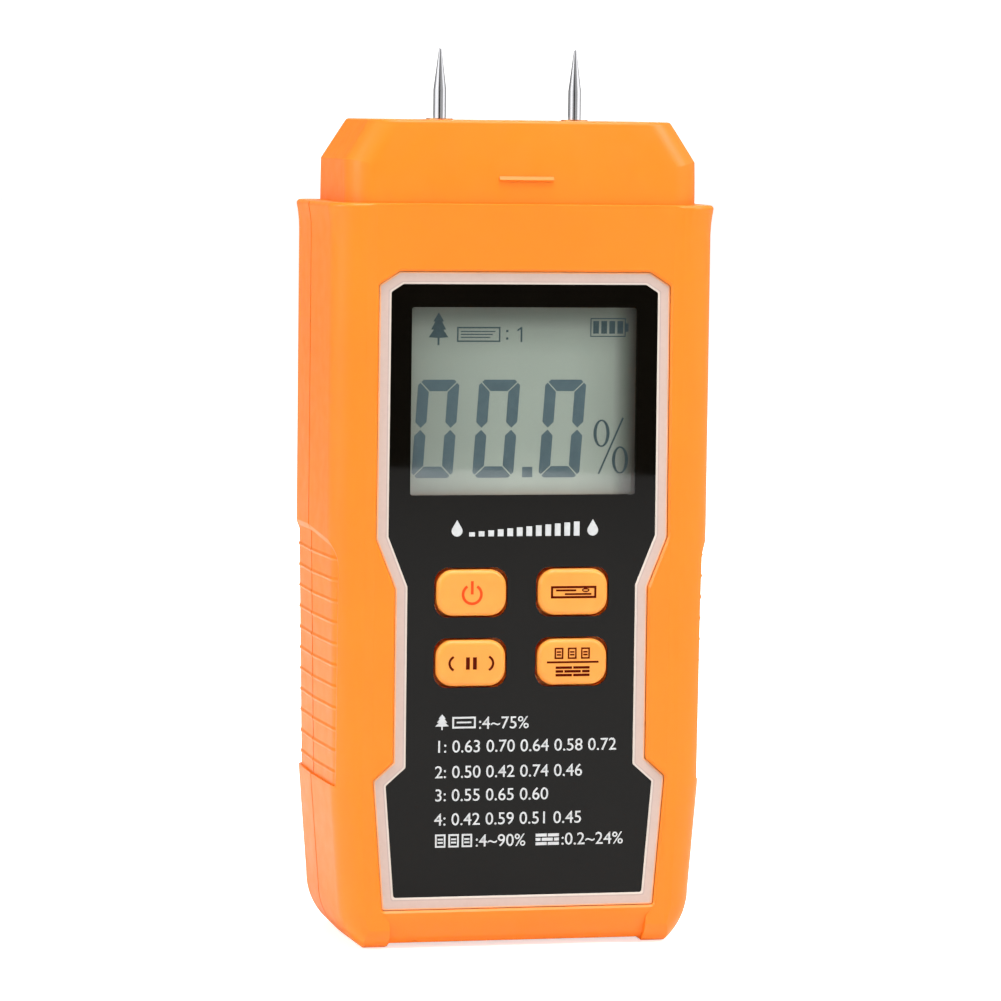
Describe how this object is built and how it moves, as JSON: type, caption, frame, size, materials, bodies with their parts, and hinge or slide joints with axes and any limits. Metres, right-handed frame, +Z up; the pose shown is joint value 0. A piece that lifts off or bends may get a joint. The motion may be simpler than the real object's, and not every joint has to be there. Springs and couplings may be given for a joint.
{
  "type": "moisture meter",
  "caption": "Handheld pin-type moisture meter with a waisted display panel, rubber-sprung keys, ribbed side grips, a battery door behind and a chamfered head with sharp electrode pins.",
  "frame": {"origin": "bottom centre of the whole object, on the surface that it stands on", "axes": "+Z up towards the electrode pins, the display faces -Y, +X to the viewer's right"},
  "size_m": [0.062, 0.0308, 0.1387],
  "materials": {
    "housing_orange": "fine satin, moulded",
    "head_orange": "fine satin, moulded",
    "panel_print": "black print behind clear film, pale border",
    "window_clear": "clear moulded acrylic",
    "lcd_glass": "plain",
    "polariser_film": "grey-green film",
    "reflector_film": "silvery film",
    "backlight_white": "milky",
    "frame_black": "matt",
    "zebra_rubber": "layered conductive rubber",
    "key_orange": "slightly translucent, satin",
    "carbon_pill": "matt",
    "keypad_rubber": "silicone",
    "board_green": "solder mask",
    "chip_black": "matt",
    "capacitor_sleeve": "dark sleeve",
    "can_steel": "bright can",
    "trim_blue": "satin",
    "screw_zinc": "zinc plated",
    "battery_jacket": "printed jacket",
    "plated_contacts": "nickel plated",
    "snap_vinyl": "soft vinyl",
    "lead_red": "PVC insulation",
    "lead_black": "PVC insulation",
    "wire_white": "PVC insulation",
    "pin_steel": "polished",
    "brass": "turned",
    "tinned_lug": "tinned copper",
    "foam_black": "foam"
  },
  "bodies": {
    "housing": {"amplifier_chips": "chip_black", "backlight_panel": "backlight_white", "battery_9v": "battery_jacket", "battery_lead_black": "lead_black", "battery_lead_red": "lead_red", "battery_snap": "snap_vinyl", "battery_terminals": "plated_contacts", "board_screws": "screw_zinc", "capacitors": "capacitor_sleeve", "case_screws": "screw_zinc", "chip_resistors": "chip_black", "crystal_can": "can_steel", "display_window": "window_clear", "electrode_pin_left": "pin_steel", "electrode_pin_right": "pin_steel", "front_overlay": "panel_print", "front_shell": "housing_orange", "key_web_hold": "keypad_rubber", "key_web_power": "keypad_rubber", "key_web_wall": "keypad_rubber", "key_web_wood": "keypad_rubber", "keypad_mat": "keypad_rubber", "lcd_frame": "frame_black", "lcd_glass": "lcd_glass", "lcd_polariser": "polariser_film", "lcd_reflector": "reflector_film", "main_board": "board_green", "microcontroller": "chip_black", "pin_bush_left": "brass", "pin_bush_right": "brass", "pin_nuts": "brass", "rear_shell": "housing_orange", "ring_lug_left": "tinned_lug", "ring_lug_right": "tinned_lug", "sensor_head": "head_orange", "sensor_wire_left": "wire_white", "sensor_wire_right": "wire_white", "snap_contacts": "plated_contacts", "trim_pot": "trim_blue", "zebra_strip": "zebra_rubber"},
    "battery_door": {"battery_door": "housing_orange", "door_pad": "foam_black"},
    "key_power": {"key_power": "key_orange", "contact_pill_power": "carbon_pill"},
    "key_wood": {"key_wood": "key_orange", "contact_pill_wood": "carbon_pill"},
    "key_hold": {"key_hold": "key_orange", "contact_pill_hold": "carbon_pill"},
    "key_wall": {"key_wall": "key_orange", "contact_pill_wall": "carbon_pill"}
  },
  "joints": [
    {"name": "battery_door_hinge", "type": "hinge", "parent": "housing", "child": "battery_door", "pos_m": [0, 0.01535, 0.008], "axis": [-1, 0, 0], "range_deg": [0, 80]},
    {"name": "key_power_press", "type": "slide", "parent": "housing", "child": "key_power", "axis": [0, 1, 0], "range_m": [0, 0.0009], "stiffness_N_per_m": 1500, "deforming": ["key_web_power"]},
    {"name": "key_wood_press", "type": "slide", "parent": "housing", "child": "key_wood", "axis": [0, 1, 0], "range_m": [0, 0.0009], "stiffness_N_per_m": 1500, "deforming": ["key_web_wood"]},
    {"name": "key_hold_press", "type": "slide", "parent": "housing", "child": "key_hold", "axis": [0, 1, 0], "range_m": [0, 0.0009], "stiffness_N_per_m": 1500, "deforming": ["key_web_hold"]},
    {"name": "key_wall_press", "type": "slide", "parent": "housing", "child": "key_wall", "axis": [0, 1, 0], "range_m": [0, 0.0009], "stiffness_N_per_m": 1500, "deforming": ["key_web_wall"]}
  ]
}
